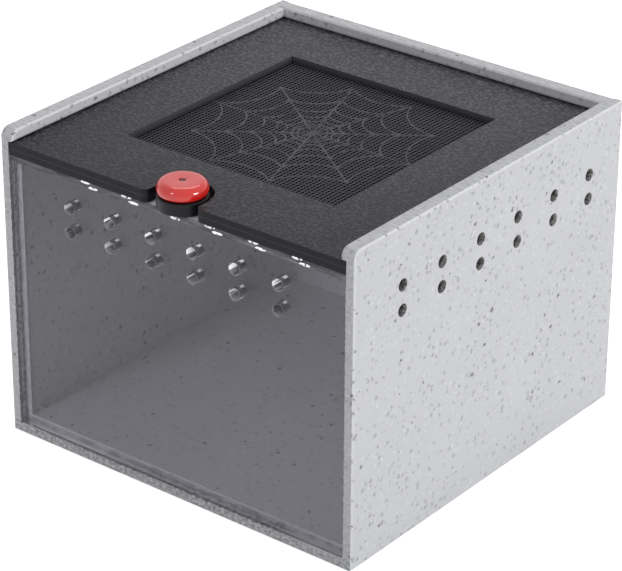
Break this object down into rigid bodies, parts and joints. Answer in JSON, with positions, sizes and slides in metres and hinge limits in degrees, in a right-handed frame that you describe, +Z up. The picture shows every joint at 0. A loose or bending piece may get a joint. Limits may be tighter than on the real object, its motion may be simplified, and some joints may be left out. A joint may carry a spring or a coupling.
{
  "type": "spider enclosure",
  "caption": "Small glued acrylic box for a pet spider, with a clear front, round air vents, a black lid that slides in grooves, a web-patterned mesh and a lift-out lock.",
  "frame": {"origin": "middle of the box's underside, on the surface it stands on", "axes": "+X to the right seen from the front, +Y from the front window to the back, +Z up"},
  "size_m": [0.13, 0.132, 0.1004],
  "materials": {
    "grey_acrylic": "polished, light grey with sparse dark specks",
    "clear_acrylic": "polished, clear",
    "cured_glue": "uneven, with small bubbles",
    "black_lid": "fine grain",
    "black_mesh": "satin",
    "black_disc": "satin",
    "red_cap": "high gloss"
  },
  "bodies": {
    "box": {"base_panel": "grey_acrylic", "left_side_panel": "grey_acrylic", "right_side_panel": "grey_acrylic", "back_panel": "grey_acrylic", "front_window": "clear_acrylic", "left_glue_line": "cured_glue", "right_glue_line": "cured_glue", "bottom_glue_line": "cured_glue"},
    "lid": {"lid_top_plate": "black_lid", "lid_bottom_plate": "black_lid", "lid_mesh": "black_mesh"},
    "lock": {"lock_disc": "black_disc", "lock_cap": "red_cap"}
  },
  "joints": [
    {"name": "lid_slide", "type": "slide", "parent": "box", "child": "lid", "axis": [0, -1, 0], "range_m": [0, 0.12]},
    {"name": "lock_lift", "type": "slide", "parent": "lid", "child": "lock", "axis": [0, 0, 1], "range_m": [0, 0.012]}
  ]
}
